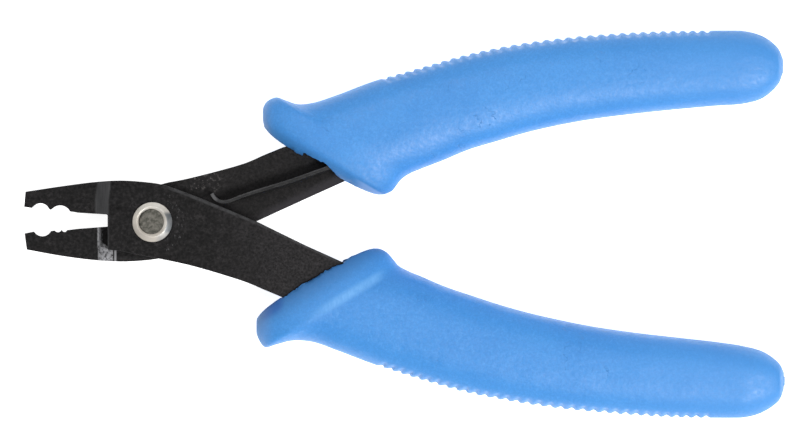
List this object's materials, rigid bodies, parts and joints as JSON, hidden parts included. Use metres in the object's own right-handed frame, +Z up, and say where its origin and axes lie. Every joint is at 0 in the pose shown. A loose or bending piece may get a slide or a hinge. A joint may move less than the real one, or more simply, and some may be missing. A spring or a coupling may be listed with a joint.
{
  "type": "wire stripper",
  "caption": "Small lap-jointed hand plier: black steel arms with round-notched jaws, a leaf return spring, a riveted pivot and curved blue moulded grips with ribbed outer edges.",
  "frame": {"origin": "middle of the bounding box on the flat underside that the plier lies on", "axes": "+X from the jaws to the handle ends, +Y across the handles towards the rear arm's handle, +Z up along the pivot pin"},
  "size_m": [0.13, 0.0662, 0.0103],
  "materials": {
    "black_steel": "blackened, matte, fine grain",
    "spring_steel": "blackened strip, satin",
    "bright_steel": "turned, bright",
    "rivet_steel": "peened, dull",
    "blue_grip": "satin moulded, soft sheen"
  },
  "bodies": {
    "rear_half": {"rear_arm": "black_steel", "rear_grip": "blue_grip", "pivot_pin": "rivet_steel", "front_ring": "bright_steel", "rear_ring": "bright_steel", "spring_pin": "bright_steel"},
    "front_half": {"front_arm": "black_steel", "front_grip": "blue_grip"},
    "leaf": {"return_spring": "spring_steel"}
  },
  "joints": [
    {"name": "jaw_pivot", "type": "hinge", "parent": "rear_half", "child": "front_half", "pos_m": [-0.04308, 0.00036, 0.005], "axis": [0, 0, 1], "range_deg": [0, 11.2], "stiffness_Nm_per_rad": 1.2, "springref_deg": -5.73},
    {"name": "leaf_flex", "type": "hinge", "parent": "rear_half", "child": "leaf", "pos_m": [-0.00707, 0.01331, 0.005], "axis": [0, 0, 1], "range_deg": [-5.3, 0]}
  ],
  "couplings": [
    {"joint": "leaf_flex", "follows": "jaw_pivot", "ratio": -0.47}
  ]
}
